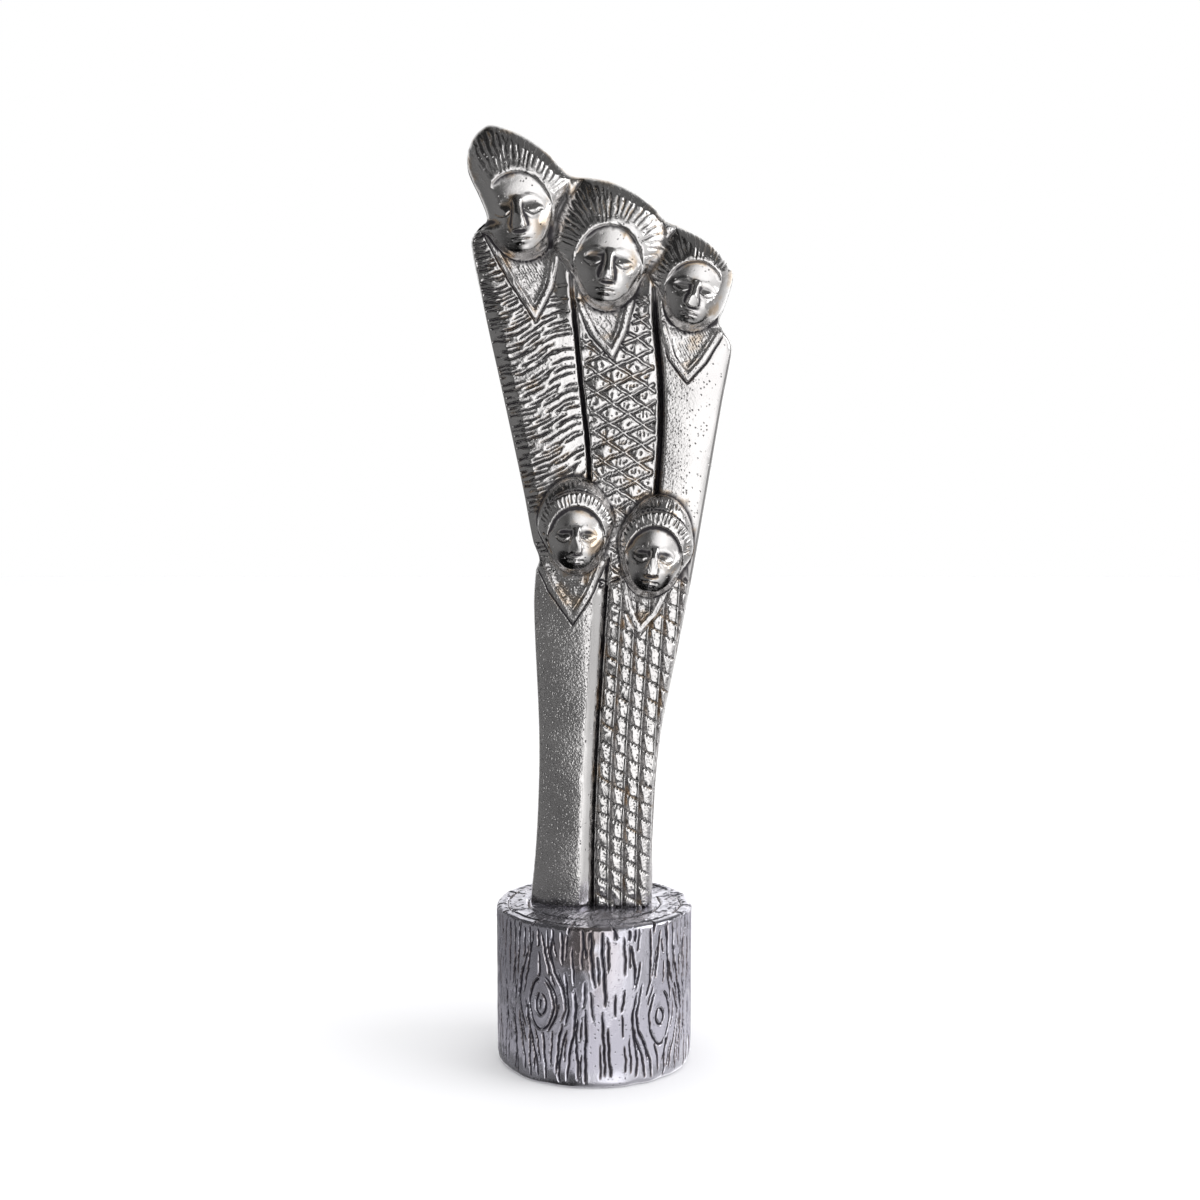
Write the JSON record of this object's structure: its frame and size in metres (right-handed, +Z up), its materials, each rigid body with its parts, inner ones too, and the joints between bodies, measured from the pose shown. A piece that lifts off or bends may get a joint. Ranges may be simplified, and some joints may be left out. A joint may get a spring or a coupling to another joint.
{
  "type": "family group table sculpture",
  "caption": "Cast metal relief of standing robed figures with inclined heads, adults behind children, set upright on a round tree-stump base.",
  "frame": {"origin": "centre of the stump's flat underside", "axes": "+Z up, the figures face -Y, +X to the right as seen from the front"},
  "size_m": [0.0837, 0.064, 0.302],
  "materials": {
    "cast_metal": "polished sand casting with dark oxide in the recesses",
    "stump_metal": "brushed sand casting with dark oxide in the grooves"
  },
  "bodies": {
    "root": {"family_group": "cast_metal", "stump_base": "stump_metal"}
  },
  "joints": []
}
